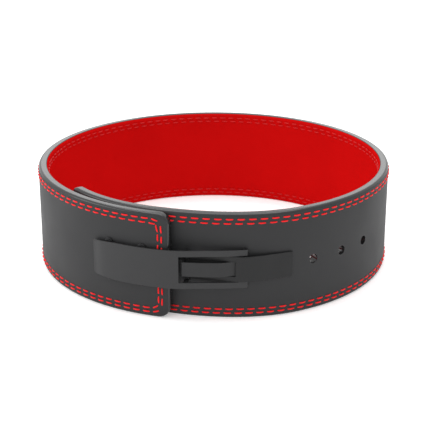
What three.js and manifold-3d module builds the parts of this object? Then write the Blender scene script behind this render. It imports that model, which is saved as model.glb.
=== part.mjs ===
// Weightlifting belt: a thick leather strap closed in a ring by a lever buckle, standing on its edge.
// Millimetres and degrees. +Z is up, the buckle is at the front (-Y), and the middle of the ring is
// on the Z axis. Angles run from the front (0) towards +X (90) and on round the back (180).

import * as THREE from 'three';
import Module from 'manifold-3d';
import { mergeVertices } from 'three/addons/utils/BufferGeometryUtils.js';

// Strap: one spiral from the tongue's tip, round the waist, to the lever end that laps over it
const RING_RADIUS = 179;        // outer face of the strap round the waist
const STRAP_WIDTH = 101.6;      // a four inch belt, standing on its lower edge
const LEATHER = 8.2;            // black leather wall
const LINING = 1.5;             // red suede wall
const FIT_GAP = 0.3;            // left between pieces that touch
const TIP_ANGLE = -55.2;        // tongue's tip, inside the lever end
const END_ANGLE = 347.3;        // edge of the lever end
const TIP_CORNER = 8;
const END_CORNER = 12;
const EDGE = 3;                 // both layers' edges are ground round together, outside and inside
const STRAP_STEP = 4.5;         // degrees between sections
const TUCK_FROM = 26.6;         // the tongue starts to turn in here
const TUCK_TO = -20;            // and is wholly inside the lever end here
const TUCK_GAP = 0.6;           // air between the tongue and the lever end
const TIP_SWING = 3.2;          // the tongue's tip stands this much further in
const FLARE_FROM = 270;         // the lever end swings out a little from here
const FLARE = 0.8;

// Punched holes along the middle of the strap
const HOLE_RADIUS = 4.4;
const HOLE_PITCH = 34.9;
const HOOK_HOLE_ANGLE = 19.9;   // the hole that the prong is in
const HOLES_PAST_HOOK = 3;      // towards the waist
const HOLES_TO_TIP = 1;         // under the buckle

// Base plate, screwed to the lever end
const BASE_SHEET = 1.3;
const BASE_FROM = -34.5;
const BASE_TO = -16;
const BASE_HALF_HEIGHT = 15;
const TONGUE_HALF_HEIGHT = 6.9;
const TONGUE_SHOWS_FROM = -9.1; // its raised stretch in the lever's window
const JOGGLE_DROP = 5.2;        // it dips between the lever end's edge and the window
const TONGUE_BENDS_FROM = 2;    // and bends down to its eye over this range
const TONGUE_BENDS_TO = 6;
const SCREW_ANGLES = [-32, -21.1];
const SCREW_OFFSET = 16.7;      // above and below the middle
const EAR_RADIUS = 4.2;
const HEAD_RADIUS = 3.4;
const HEAD_HEIGHT = 0.7;
const SHANK_RADIUS = 2;
const SCREW_FLOOR = 2;          // leather left under a screw

// Lever
const LEVER_SHEET = 1.8;
const LEVER_TIP = -37.3;
const LEVER_HALF_HEIGHT = 18.4;
const LEVER_TIP_HALF_HEIGHT = 16.9;
const LEVER_TAPER = 24;         // length over which the tip narrows
const LEVER_TIP_CORNER = 3;
const LEVER_TIP_DROP = 1.4;     // the tip bends in towards the belt
const LEVER_TIP_BEND = 4;       // degrees
const WINDOW_FROM = -9.9;
const ARM_HEIGHT = 5.7;         // of the two arms beside the window
const ARMS_BEND_FROM = -13;     // the arms come down from the lever's level
const ARMS_BEND_TO = -1;        // to that of their eyes
const LUG = 2.5;                // thickness of the lugs that carry the hook plate

// Pins
const PIN_RADIUS = 1.3;
const EYE_WALL = 0.7;
const LEVER_PIN_ANGLE = 9.4;
const HOOK_PIN_ANGLE = -8;

// Hook plate
const HOOK_SHEET = 1.5;
const HOOK_CLEARANCE = 0.5;     // above and below it, in the lever's window
const HOOK_END = 23.6;
const HOOK_WINDOW_TO = 6.3;
const HOOK_CREST_FROM = 8;
const HOOK_CREST_TO = 10.6;     // it passes over the lever pin, then comes down on the strap
const HOOK_LIES_FROM = 19;
const PRONG_CLEARANCE = 1.8;    // round the prong, for its lean
const PRONG_DEPTH = 5;          // into the hole

// Worked out from the driving dimensions
const WALL = LEATHER + FIT_GAP + LINING;
const MIDDLE = STRAP_WIDTH / 2;
const EYE_RADIUS = PIN_RADIUS + FIT_GAP + EYE_WALL;
const BORE_RADIUS = PIN_RADIUS + FIT_GAP;
const LEVER_END_FACE = RING_RADIUS + FLARE;
const BASE_FACE = LEVER_END_FACE + FIT_GAP + BASE_SHEET;
const HEAD_FACE = BASE_FACE + FIT_GAP + HEAD_HEIGHT;
const LEVER_FACE = HEAD_FACE + FIT_GAP + LEVER_SHEET;
const SHANK_DEPTH = LEATHER - SCREW_FLOOR;
const WINDOW_HALF_HEIGHT = LEVER_HALF_HEIGHT - ARM_HEIGHT;
const HOOK_HALF_HEIGHT = WINDOW_HALF_HEIGHT - HOOK_CLEARANCE;
const PRONG_RADIUS = HOLE_RADIUS - PRONG_CLEARANCE;
const HOOK_WINDOW_HALF_HEIGHT = TONGUE_HALF_HEIGHT + FIT_GAP;
const FAR = 2 * RING_RADIUS;      // beyond the whole belt
const OVERCUT = 1;                // by which a cutter reaches past what it cuts
const CORNER_TURNS = [0, 30, 60, 90];

const wasm = await Module();
wasm.setup();

const radians = (degrees) => (degrees * Math.PI) / 180;
const clamp01 = (value) => Math.min(1, Math.max(0, value));
const ease = (value) => clamp01(value) ** 2 * (3 - 2 * clamp01(value));

// A point of the plan at an angle and a radius
const plan = (angle, radius) => new THREE.Vector2(
  radius * Math.sin(radians(angle)), -radius * Math.cos(radians(angle)));

// Radius of the strap's outer face along the spiral
function strapFace(angle) {
  const tuck = (WALL + TUCK_GAP) * ease((TUCK_FROM - angle) / (TUCK_FROM - TUCK_TO));
  const swing = TIP_SWING * clamp01((TUCK_TO - angle) / (TUCK_TO - TIP_ANGLE)) ** 2;
  const flare = FLARE * ease((angle - FLARE_FROM) / (END_ANGLE - FLARE_FROM));
  return RING_RADIUS - tuck - swing + flare;
}

// Outward direction of the strap's outer face, in the plan
function strapNormal(angle) {
  const step = 0.1;
  const along = plan(angle + step, strapFace(angle + step))
    .sub(plan(angle - step, strapFace(angle - step))).normalize();
  return new THREE.Vector2(along.y, -along.x);
}

// Solids: a closed geometry becomes a manifold for joining and cutting, and comes back as a mesh
function toSolid(geometry) {
  const bare = geometry.index ? geometry.clone() : geometry;
  bare.deleteAttribute('normal');
  bare.deleteAttribute('uv');
  const merged = mergeVertices(bare, 1e-4);
  return new wasm.Manifold(new wasm.Mesh({
    numProp: 3,
    vertProperties: new Float32Array(merged.attributes.position.array),
    triVerts: new Uint32Array(merged.index.array),
  }));
}

function toGeometry(solid) {
  const mesh = solid.getMesh();
  const geometry = new THREE.BufferGeometry();
  geometry.setAttribute('position', new THREE.BufferAttribute(mesh.vertProperties, 3));
  geometry.setIndex(new THREE.BufferAttribute(mesh.triVerts, 1));
  geometry.computeVertexNormals();
  return geometry;
}

// A plan outline raised from one height to another
function upright(outline, low, high) {
  const geometry = new THREE.ExtrudeGeometry(
    new THREE.Shape(outline), { depth: high - low, bevelEnabled: false });
  geometry.translate(0, 0, low);
  return toSolid(geometry);
}

// A front outline (x, height) carried straight through the front of the ring
function through(outline) {
  const geometry = new THREE.ExtrudeGeometry(
    new THREE.Shape(outline), { depth: FAR, bevelEnabled: false });
  geometry.rotateX(Math.PI / 2);
  return toSolid(geometry);
}

// A rectangle of the front view, for windows
function frontBlock(left, right, halfHeight) {
  return through([
    new THREE.Vector2(left, MIDDLE - halfHeight), new THREE.Vector2(right, MIDDLE - halfHeight),
    new THREE.Vector2(right, MIDDLE + halfHeight), new THREE.Vector2(left, MIDDLE + halfHeight),
  ]);
}

// A round bar from a point of the plan along a direction, at one height
function bar(point, direction, from, to, radius, sides) {
  const geometry = new THREE.CylinderGeometry(radius, radius, to - from, sides);
  geometry.rotateZ(Math.PI / 2);
  geometry.translate((from + to) / 2, 0, 0);
  geometry.rotateZ(Math.atan2(direction.y, direction.x));
  geometry.translate(point.x, point.y, 0);
  return geometry;
}

function peg(point, direction, height, from, to, radius, sides = 16) {
  return toSolid(bar(point, direction, from, to, radius, sides).translate(0, 0, height));
}

// An upright round bar, for pins, eyes and their bores
function post(point, radius, low, high, sides = 20) {
  const geometry = new THREE.CylinderGeometry(radius, radius, high - low, sides);
  geometry.rotateX(Math.PI / 2);
  geometry.translate(point.x, point.y, (low + high) / 2);
  return toSolid(geometry);
}

// The outline of a bent sheet: a line of plan points, half the sheet to each side, mitred at bends
function ribbon(line, sheet) {
  const left = (from, to) => {
    const along = to.clone().sub(from).normalize();
    return new THREE.Vector2(-along.y, along.x);
  };
  const offsets = line.map((point, i) => {
    const before = left(line[Math.max(0, i - 1)], line[Math.max(1, i)]);
    const after = left(line[Math.min(line.length - 2, i)], line[Math.min(line.length - 1, i + 1)]);
    const mitre = before.clone().add(after).normalize();
    return mitre.multiplyScalar(sheet / 2 / mitre.dot(before));
  });
  const side = (sign) => line.map((point, i) => point.clone().addScaledVector(offsets[i], sign));
  return [...side(-1), ...side(1).reverse()];
}

// Plan points along an angle range, with the radius as a function of the angle
function arc(from, to, radiusAt, steps) {
  return Array.from({ length: steps + 1 }, (_, i) => {
    const angle = from + ((to - from) * i) / steps;
    return plan(angle, radiusAt(angle));
  });
}

// Strap: sections along the spiral. Near each end they get lower along a quarter circle.
function strapStations() {
  const turns = [0, 18, 36, 54, 72, 90];
  const ends = [[TIP_ANGLE, TIP_CORNER, 1], [END_ANGLE, END_CORNER, -1]]
    .map(([angle, corner, way]) => turns.map((turn) => ({
      angle: angle + way * THREE.MathUtils.radToDeg(
        (corner * (1 - Math.cos(radians(turn)))) / strapFace(angle)),
      drop: corner * (1 - Math.sin(radians(turn))),
    })));
  const from = ends[0].at(-1).angle;
  const to = ends[1].at(-1).angle;
  const count = Math.round((to - from) / STRAP_STEP);
  const between = Array.from({ length: count - 1 }, (_, i) => ({
    angle: from + ((to - from) * (i + 1)) / count, drop: 0 }));
  return [...ends[0], ...between, ...ends[1].reverse()];
}

// How far the ground edge lies in from the strap's full width, at a depth below its outer face
function edgeInset(depth) {
  const short = Math.max(0, EDGE - Math.min(depth, WALL - depth));
  return EDGE - Math.sqrt(EDGE ** 2 - short ** 2);
}

// A layer of the strap between two depths below its outer face
function strapLayer(outer, inner) {
  const arc = CORNER_TURNS.map((turn) => EDGE * (1 - Math.sin(radians(turn))));
  const depths = [outer, ...arc.concat(arc.map((depth) => WALL - depth))
    .filter((depth) => depth > outer && depth < inner).sort((a, b) => a - b), inner];
  const sections = strapStations().map(({ angle, drop }) => {
    const profile = [
      ...depths.map((depth) => [depth, drop + edgeInset(depth)]),
      ...[...depths].reverse().map((depth) => [depth, STRAP_WIDTH - drop - edgeInset(depth)]),
    ];
    const face = plan(angle, strapFace(angle));
    const normal = strapNormal(angle);
    return profile.map(([depth, z]) => [face.x - normal.x * depth, face.y - normal.y * depth, z]);
  });
  return loft(sections);
}

// A closed skin through sections of equally many points, with flat fans over both ends
function loft(sections) {
  const size = sections[0].length;
  const index = [];
  for (let s = 0; s + 1 < sections.length; s += 1) {
    for (let p = 0; p < size; p += 1) {
      const a = s * size + p;
      const b = s * size + ((p + 1) % size);
      index.push(a, b, a + size, b, b + size, a + size);
    }
  }
  const last = (sections.length - 1) * size;
  for (let p = 1; p + 1 < size; p += 1) {
    index.push(0, p + 1, p, last, last + p, last + p + 1);
  }
  const geometry = new THREE.BufferGeometry();
  geometry.setAttribute('position', new THREE.Float32BufferAttribute(sections.flat(2), 3));
  geometry.setIndex(index);
  return toSolid(geometry);
}

// Angles of the punched holes, a pitch apart along the strap, from the hook's hole both ways
function holeAngles() {
  const angles = [HOOK_HOLE_ANGLE];
  const next = (angle, way) => angle + way * THREE.MathUtils.radToDeg(HOLE_PITCH / strapFace(angle));
  for (let i = 0; i < HOLES_PAST_HOOK; i += 1) angles.push(next(angles.at(-1), 1));
  let angle = HOOK_HOLE_ANGLE;
  for (let i = 0; i < HOLES_TO_TIP; i += 1) {
    angle = next(angle, -1);
    angles.push(angle);
  }
  return angles;
}

function punch(solid) {
  return holeAngles().reduce((cut, angle) => cut.subtract(peg(
    plan(angle, strapFace(angle)), strapNormal(angle), MIDDLE, -WALL - OVERCUT, FIT_GAP,
    HOLE_RADIUS)), solid);
}

// Places of the four screws: an angle, a height, and the strap's face and direction there
function screwPlaces() {
  return SCREW_ANGLES.flatMap((angle) => [1, -1].map((side) => ({
    face: plan(angle, LEVER_END_FACE),
    out: plan(angle, 1),
    height: MIDDLE + side * SCREW_OFFSET,
  })));
}

function strapLeather() {
  const wall = punch(strapLayer(0, LEATHER));
  return screwPlaces().reduce((cut, { face, out, height }) => cut.subtract(
    peg(face, out, height, -SHANK_DEPTH - FIT_GAP, OVERCUT, SHANK_RADIUS + FIT_GAP)), wall);
}

function liningSuede() {
  return punch(strapLayer(LEATHER + FIT_GAP, WALL));
}

// Pivots. Each stands just clear of the strap's face below it.
const leverPin = plan(LEVER_PIN_ANGLE, strapFace(LEVER_PIN_ANGLE) + FIT_GAP + EYE_RADIUS);
const hookPin = plan(HOOK_PIN_ANGLE, strapFace(HOOK_PIN_ANGLE) + FIT_GAP + EYE_RADIUS);

// Base plate: a sheet on the lever end with four ears, and a tongue that dips past the lever end's
// edge, rises in the lever's window and ends in an eye round the lever pin
function basePlate() {
  const level = BASE_FACE - BASE_SHEET / 2;
  const sheet = upright(ribbon(arc(BASE_FROM, BASE_TO, () => level, 8), BASE_SHEET),
    MIDDLE - BASE_HALF_HEIGHT, MIDDLE + BASE_HALF_HEIGHT);
  const ears = screwPlaces().map(({ face, out, height }) => peg(
    face, out, height, FIT_GAP, FIT_GAP + BASE_SHEET, EAR_RADIUS, 20));
  const rise = TONGUE_SHOWS_FROM + THREE.MathUtils.radToDeg(BASE_SHEET / 2 / level);
  const pinLevel = leverPin.length();
  const bend = (angle) => level + (pinLevel - level)
    * ease((angle - TONGUE_BENDS_FROM) / (TONGUE_BENDS_TO - TONGUE_BENDS_FROM));
  const edge = END_ANGLE - 360 + THREE.MathUtils.radToDeg((2 * FIT_GAP + BASE_SHEET / 2) / level);
  const line = [
    ...arc(BASE_TO - 1, edge, () => level, 2),
    ...arc(edge, rise, () => level - JOGGLE_DROP, 2),
    ...arc(rise, LEVER_PIN_ANGLE - THREE.MathUtils.radToDeg(BORE_RADIUS / pinLevel), bend, 10),
  ];
  const tongue = upright(ribbon(line, BASE_SHEET),
    MIDDLE - TONGUE_HALF_HEIGHT, MIDDLE + TONGUE_HALF_HEIGHT);
  const eye = post(leverPin, EYE_RADIUS, MIDDLE - TONGUE_HALF_HEIGHT, MIDDLE + TONGUE_HALF_HEIGHT);
  const whole = ears.reduce((sum, ear) => sum.add(ear), sheet.add(tongue).add(eye));
  const bored = screwPlaces().reduce((cut, { face, out, height }) => cut.subtract(
    peg(face, out, height, 0, BASE_SHEET + OVERCUT, SHANK_RADIUS + FIT_GAP)), whole);
  return bored.subtract(post(leverPin, BORE_RADIUS, 0, STRAP_WIDTH));
}

function screw({ face, out, height }) {
  const seat = 2 * FIT_GAP + BASE_SHEET;
  return peg(face, out, height, -SHANK_DEPTH, seat + HEAD_HEIGHT / 2, SHANK_RADIUS, 12)
    .add(peg(face, out, height, seat, seat + HEAD_HEIGHT, HEAD_RADIUS, 20));
}

// Radius of the middle of the lever's sheet: its tip bends in a little, and its arms come down to
// the eyes on the lever pin
function leverLevel(angle) {
  const level = LEVER_FACE - LEVER_SHEET / 2;
  const eyeTop = leverPin.length() + EYE_RADIUS - LEVER_SHEET / 2;
  return level
    - LEVER_TIP_DROP * ease((LEVER_TIP + LEVER_TIP_BEND - angle) / LEVER_TIP_BEND)
    - (level - eyeTop) * ease((angle - ARMS_BEND_FROM) / (ARMS_BEND_TO - ARMS_BEND_FROM));
}

// Lever: a curved sheet with a window open to its end, an eye at the end of each of its two arms,
// and a lug on each arm to carry the hook plate
function leverHandle() {
  const line = arc(LEVER_TIP, LEVER_PIN_ANGLE, leverLevel, 30);
  const sheet = upright(ribbon(line, LEVER_SHEET), 0, STRAP_WIDTH).intersect(through(leverOutline()));
  const window = frontBlock(plan(WINDOW_FROM, LEVER_FACE).x, FAR, WINDOW_HALF_HEIGHT);
  const arms = [1, -1].flatMap((side) => [
    between((low, high) => post(leverPin, EYE_RADIUS, low, high), side,
      WINDOW_HALF_HEIGHT, LEVER_HALF_HEIGHT),
    between(lug, side, WINDOW_HALF_HEIGHT, WINDOW_HALF_HEIGHT + LUG),
  ]);
  return arms.reduce((sum, arm) => sum.add(arm), sheet.subtract(window))
    .subtract(post(leverPin, BORE_RADIUS, 0, STRAP_WIDTH))
    .subtract(post(hookPin, BORE_RADIUS, 0, STRAP_WIDTH));
}

// A shape made between two distances from the middle, above or below it
function between(make, side, near, far) {
  const low = MIDDLE + Math.min(side * near, side * far);
  const high = MIDDLE + Math.max(side * near, side * far);
  return make(low, high);
}

// A lug: an eye for a hook rivet and the web that joins it to the lever's sheet
function lug(low, high) {
  const spread = THREE.MathUtils.radToDeg(EYE_RADIUS / LEVER_FACE);
  const top = leverLevel(HOOK_PIN_ANGLE + spread);
  const web = upright([
    plan(HOOK_PIN_ANGLE - spread, hookPin.length()), plan(HOOK_PIN_ANGLE + spread, hookPin.length()),
    plan(HOOK_PIN_ANGLE + spread, top), plan(HOOK_PIN_ANGLE - spread, top),
  ], low, high);
  return web.add(post(hookPin, EYE_RADIUS, low, high));
}

// Front outline of the lever: straight edges, narrowing a little to round corners at the tip
function leverOutline() {
  const tip = plan(LEVER_TIP, LEVER_FACE).x;
  const half = (x) => LEVER_HALF_HEIGHT
    - (LEVER_HALF_HEIGHT - LEVER_TIP_HALF_HEIGHT) * (1 - ease((x - tip) / LEVER_TAPER));
  const edge = CORNER_TURNS.map((turn) => [
    tip + LEVER_TIP_CORNER * (1 - Math.cos(radians(turn))),
    LEVER_TIP_HALF_HEIGHT - LEVER_TIP_CORNER * (1 - Math.sin(radians(turn))),
  ]);
  for (const share of [0.4, 0.6, 0.8, 1]) {
    edge.push([tip + share * LEVER_TAPER, half(tip + share * LEVER_TAPER)]);
  }
  edge.push([FAR, LEVER_HALF_HEIGHT]);
  const top = edge.map(([x, rise]) => new THREE.Vector2(x, MIDDLE + rise));
  const bottom = edge.map(([x, rise]) => new THREE.Vector2(x, MIDDLE - rise)).reverse();
  return [...bottom, ...top];
}

// Hook plate: two rails from the hook rivets over the lever pin to a plate on the strap's face,
// with a prong that leans the way the plate lifts
function hookPlate() {
  const lies = RING_RADIUS + FIT_GAP + HOOK_SHEET / 2;
  const crest = leverPin.length() + EYE_RADIUS + FIT_GAP + HOOK_SHEET / 2;
  const level = (a) => crest - (crest - lies) * ease((a - HOOK_CREST_TO) / (HOOK_LIES_FROM - HOOK_CREST_TO));
  const line = [hookPin, ...arc(HOOK_CREST_FROM, HOOK_END, level, 12)];
  const low = MIDDLE - HOOK_HALF_HEIGHT;
  const high = MIDDLE + HOOK_HALF_HEIGHT;
  const sheet = upright(ribbon(line, HOOK_SHEET), low, high)
    .add(post(hookPin, EYE_RADIUS, low, high));
  const window = frontBlock(-FAR, plan(HOOK_WINDOW_TO, crest).x, HOOK_WINDOW_HALF_HEIGHT);
  return sheet.subtract(window).subtract(post(hookPin, BORE_RADIUS, 0, STRAP_WIDTH)).add(prong());
}

// Direction in which the closed hook plate lifts: across the line between the two pivots
function liftDirection() {
  const link = hookPin.clone().sub(leverPin).normalize();
  return new THREE.Vector2(-link.y, link.x);
}

function prong() {
  const middle = plan(HOOK_HOLE_ANGLE, strapFace(HOOK_HOLE_ANGLE) - PRONG_DEPTH / 2);
  const rod = peg(middle, liftDirection(), MIDDLE, -PRONG_DEPTH / 2, PRONG_DEPTH + HOOK_SHEET,
    PRONG_RADIUS, 14);
  const insideSheet = RING_RADIUS + FIT_GAP + HOOK_SHEET / 2;
  return rod.intersect(post(plan(0, 0), insideSheet, 0, STRAP_WIDTH, 240));
}

function leverPinBar() {
  return post(leverPin, PIN_RADIUS, MIDDLE - LEVER_HALF_HEIGHT, MIDDLE + LEVER_HALF_HEIGHT, 16);
}

// A short rivet through a lug of the lever and a rail of the hook plate
function hookRivet(side) {
  return between((low, high) => post(hookPin, PIN_RADIUS, low, high, 16), side,
    HOOK_WINDOW_HALF_HEIGHT, WINDOW_HALF_HEIGHT + LUG);
}

const blackLeather = { color: 0x2f2f31, roughness: 0.62, metalness: 0 };
const redSuede = { color: 0xb00d0d, roughness: 0.95, metalness: 0 };
const blackSteel = { color: 0x333335, roughness: 0.45, metalness: 0.2 };
const plainSteel = { color: 0x55565a, roughness: 0.35, metalness: 0.9 };

const belt = new THREE.Group();

function addPiece(name, solid, finish) {
  const mesh = new THREE.Mesh(toGeometry(solid), new THREE.MeshStandardMaterial(finish));
  mesh.name = name;
  belt.add(mesh);
}

addPiece('strap_leather', strapLeather(), blackLeather);
addPiece('lining_suede', liningSuede(), redSuede);
addPiece('base_plate', basePlate(), blackSteel);
screwPlaces().forEach((place, i) => addPiece(`screw_${i + 1}`, screw(place), blackSteel));
addPiece('lever_pin', leverPinBar(), plainSteel);
addPiece('lever_handle', leverHandle(), blackSteel);
addPiece('hook_rivet_1', hookRivet(1), plainSteel);
addPiece('hook_rivet_2', hookRivet(-1), plainSteel);
addPiece('hook_plate', hookPlate(), blackSteel);

// The origin is under the middle of the whole belt, on the surface that it stands on
const box = new THREE.Box3().setFromObject(belt);
belt.position.set(-(box.min.x + box.max.x) / 2, -(box.min.y + box.max.y) / 2, -box.min.z);

export default belt;
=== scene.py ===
"""Weightlifting belt with a lever buckle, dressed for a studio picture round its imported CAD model.

Metres, +Z up, the buckle at the front (-Y). Angles of the plan run in degrees from the front
towards +X. Laid out as an add-on, and run as a script.
"""

import bpy
import numpy as np
from bpy.props import FloatProperty, FloatVectorProperty, PointerProperty
from bpy.types import Operator, Panel, PropertyGroup
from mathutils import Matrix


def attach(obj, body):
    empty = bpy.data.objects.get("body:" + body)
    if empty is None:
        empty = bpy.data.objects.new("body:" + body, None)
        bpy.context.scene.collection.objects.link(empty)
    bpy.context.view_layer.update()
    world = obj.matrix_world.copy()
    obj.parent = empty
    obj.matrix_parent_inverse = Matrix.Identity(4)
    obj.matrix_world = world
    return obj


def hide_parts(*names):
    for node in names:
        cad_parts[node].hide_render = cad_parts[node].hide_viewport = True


bl_info = {
    "name": "Lever belt",
    "version": (1, 0, 0),
    "blender": (4, 5, 0),
    "location": "3D View > Sidebar > Belt",
    "description": "Builds a leather weightlifting belt with a lever buckle",
    "category": "Object",
}

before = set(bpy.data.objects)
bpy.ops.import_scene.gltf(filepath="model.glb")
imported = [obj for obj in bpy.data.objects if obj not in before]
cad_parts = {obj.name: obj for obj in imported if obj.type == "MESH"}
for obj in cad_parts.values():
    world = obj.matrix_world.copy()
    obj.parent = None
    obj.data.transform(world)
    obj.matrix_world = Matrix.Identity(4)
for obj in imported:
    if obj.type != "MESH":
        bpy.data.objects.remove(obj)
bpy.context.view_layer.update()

MM = 0.001

# Strap: the spiral of its outer face, from the tongue's tip to the lever end
RING_CENTRE = np.array([0.002, 1.231]) * MM
TIP_ANGLE, END_ANGLE = -55.2, 347.3
TUCK_FROM, TUCK_TO = 26.6, -20.0  # the tongue turns in under the lever end
FLARE_FROM = 270.0  # and the lever end swings out a little
TUCK_GAP, TIP_SWING, FLARE = 0.6 * MM, 3.2 * MM, 0.8 * MM
LAYER_GAP = 0.3 * MM
BARE_FOOT = 4 * MM  # the lower edge, on which the strap stands, is left unpainted up to here
LINING_LIP = 0.2 * MM  # rounding of the rims of the lining's holes

# Punched holes: the one that the prong is in, and those on both sides of it
HOOK_HOLE_ANGLE = 19.9
HOLE_PITCH = 34.9 * MM
HOLES_PAST_HOOK, HOLES_TO_TIP = 3, 1

# Stitching: rows at two insets from the strap's edge, sewn at a pitch that differs a little
# between the tongue's stretch, the lever end's, and the long stretch between them
TONGUE_STRETCH, LEVER_STRETCH = 296 * MM, 96 * MM
MIDDLE_PITCH = 10.25 * MM
SEAM_CORNER = 15 * MM  # the rows turn round points this far in from both edges
ROWS = (
    # insets from the edges and from the ends, and for the top and the bottom edge: distance of a
    # stitch from the tongue's tip, pitch there, distance of the first stitch from the lever end,
    # and pitch there
    (5.0 * MM, 7.4 * MM, ((135.0, 10.47, 13.2, 10.05), (124.8, 10.07, 13.2, 10.1))),
    (9.0 * MM, 10.9 * MM, ((133.1, 10.47, 15.9, 10.05), (126.6, 10.07, 13.2, 10.1))),
)
END_HEIGHTS = (  # the stitches across an end, from the middle of the strap, for both rows
    (35.9, 26.1, 15.3, 5.4, -4.5, -14.5, -24.4, -34.7),
    (36.9, 27.9, 17.8, 7.5, -2.8, -13.2, -23.5, -32.8),
)
COVERED_HEIGHTS = (11 * MM, 17 * MM)  # the base plate lies on the lever end's stitches up to here

# Buckle: levels over the lever end's face, and angles of the plan
FIT = 0.3 * MM
BASE_SHEET, LEVER_SHEET, HOOK_SHEET = 1.3 * MM, 1.8 * MM, 1.5 * MM
HEAD_HEIGHT = 0.7 * MM
BASE_FROM, BASE_TO = -34.5, -16.0
TONGUE_RISE = -9.1
JOGGLE_DROP = 5.2 * MM
SCREW_ANGLES = (-32.0, -21.1)
LEVER_TIP, WINDOW_FROM = -37.3, -9.9
LEVER_PIN_ANGLE, HOOK_PIN_ANGLE = 9.4, -8.0
HOOK_CREST_FROM, HOOK_CREST_TO = 8.0, 10.6
HOOK_LIES_FROM, HOOK_END = 19.0, 23.6
HOOK_WINDOW_TO = 6.3
PIN_RADIUS, BORE_RADIUS, EYE_RADIUS = 1.3 * MM, 1.6 * MM, 2.3 * MM
ARMS_BEND_FROM, ARMS_BEND_TO = -13.0, -1.0
TIP_BEND, TIP_BEND_OVER = 1.4 * MM, 4.0  # the lever's tip bends in, over these degrees
ARMS_THIN_OVER = 4.0  # and its arms thin out to the eyes' wall over these
DIP_FROM, DIP_OVER = 2.0, 4.0  # the base plate's tongue comes down to the lever pin
LUG_HEIGHT = 2.5 * MM
HOOK_PLAY = 0.5 * MM  # of the hook plate between the lever's arms
PRONG_DEPTH = 2.5 * MM  # of the prong's middle under the strap's face, and half its reach
PRONG_END = ((0, 1.5), (0.3, 2.1), (0.8, 2.5), (1.3, 2.6))  # mm from its end, and radius
SCREW_RISE = 16.7 * MM  # of the screws and ears from the strap's middle
EAR_BORE = 2.3 * MM

# Fineness of the meshes
TRACK_POINTS = 8001
STRAP_STATIONS, FACE_POINTS = 400, 15
END_STATIONS = np.array([0, 0.02, 0.1, 0.25, 0.5, 0.85, 1.3, 1.9, 2.6, 3.4, 4.5, 6, 8, 10]) * MM
TIP_STATIONS = np.array([0, 0.05, 0.25, 0.7, 1.3, 2, 3, 4.5, 7, 10, 14, 19, 24]) * MM
PLATE_POINTS = 20
THREAD_RINGS = np.array([-1, -0.8, -0.35, 0.35, 0.8, 1])  # shares of a stitch's half length
THREAD_SIDES = 8
SHARP = 35  # edges that bend by more degrees stay sharp

# Stage
CAMERA_PLACE = (1.51 * MM, -1127.84 * MM, 451.4 * MM)
CAMERA_TILT, CAMERA_LENS, CAMERA_SENSOR = 69.86, 95.73, 36
LAMP_AIM = (0, 0, 0.05)
FLOOR_REACH = 6.0
LAMPS = (
    # name, place, size, watts
    ("left_softbox", (-1.3, -0.2, 0.7), 1.0, 6),
    ("top_softbox", (0.0, 0.3, 1.8), 1.6, 19),
    ("back_left_softbox", (-0.45, 2.2, 0.85), 0.45, 0.8),
    ("back_right_softbox", (0.45, 2.2, 0.85), 0.45, 0.8),
)


def linear(code):
    """A colour given as sRGB hex, as linear red, green and blue."""
    shade = np.array([int(code[i : i + 2], 16) for i in (0, 2, 4)]) / 255
    return tuple(np.where(shade <= 0.04045, shade / 12.92, ((shade + 0.055) / 1.055) ** 2.4))


# ---------------------------------------------------------------- sizes and colours


def length(name, description, millimetres):
    """A length property, in metres, from its default in millimetres."""
    return FloatProperty(
        name=name, description=description, default=millimetres * MM, min=0, unit="LENGTH"
    )


def colour(name, description, code):
    """A colour property from its default in sRGB hex."""
    return FloatVectorProperty(
        name=name, description=description, default=linear(code), size=3, min=0, max=1,
        subtype="COLOR",
    )


class BeltSizes(PropertyGroup):
    """Sizes of the leather strap and its stitching"""

    ring: length("Ring radius", "Outer face of the strap round the waist", 179)
    width: length("Width", "Width of the strap, which stands on its edge", 101.6)
    leather: length("Leather", "Thickness of the black leather", 8.2)
    lining: length("Lining", "Thickness of the red suede", 1.5)
    corner: length("Corner", "Rounding of the lever end's corners", 12)
    tip_corner: length("Tip corner", "Rounding of the tongue's corners", 8)
    edge: length("Edge", "Rounding of the edges over both layers", 3)
    paint: length("Edge paint", "How far the edge paint reaches in from the outline", 2.1)
    hole: length("Hole radius", "Radius of the punched holes", 4.4)
    hole_lip: length("Hole lip", "Rounding of the rims of the punched holes", 0.5)
    stitch: length("Stitch length", "Length of the thread that shows in one stitch", 7.3)
    thread: length("Thread", "Thickness of the thread", 1.5)


class BuckleSizes(PropertyGroup):
    """Sizes of the lever buckle"""

    lever: length("Lever half height", "From the belt's middle to the lever's edge", 18.4)
    tip: length("Tip half height", "The same at the lever's tip", 16.9)
    window: length("Window half height", "Half the height of the lever's window", 12.7)
    base: length("Base half height", "Half the height of the base plate", 15)
    tongue: length("Tongue half height", "Half the height of the base plate's tongue", 6.9)
    bevel: length("Edge rounding", "Rounding of the cut edges of the sheet steel", 0.4)
    head: length("Screw head radius", "Radius of the screws' heads", 3.4)
    ear: length("Ear radius", "Radius of the base plate's round ears", 4.2)


class BeltColours(PropertyGroup):
    """Colours of the materials"""

    leather: colour("Leather", "Black finished leather", "29292a")
    suede: colour("Suede", "Red suede lining", "b80d0d")
    paint: colour("Edge paint", "Black paint of the strap's cut edges", "1c1c1d")
    thread: colour("Thread", "Red stitching", "e8161b")
    # The stitches on the lining are the same red thread as outside, given a darker colour here:
    # painted shade for the inside of the ring.
    inner_thread_painted_shade: colour("Inner thread", "Stitching on the lining", "bf1416")
    lever: colour("Lever", "Powder-coated steel of the lever", "2c2c2d")
    plate: colour("Base plate", "Powder-coated steel of the base plate", "242425")
    hook: colour("Hook plate", "Powder-coated steel of the hook plate", "151516")
    screws: colour("Screws", "Blackened steel of screws and pins", "1b1b1d")


# ---------------------------------------------------------------- shapes


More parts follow.
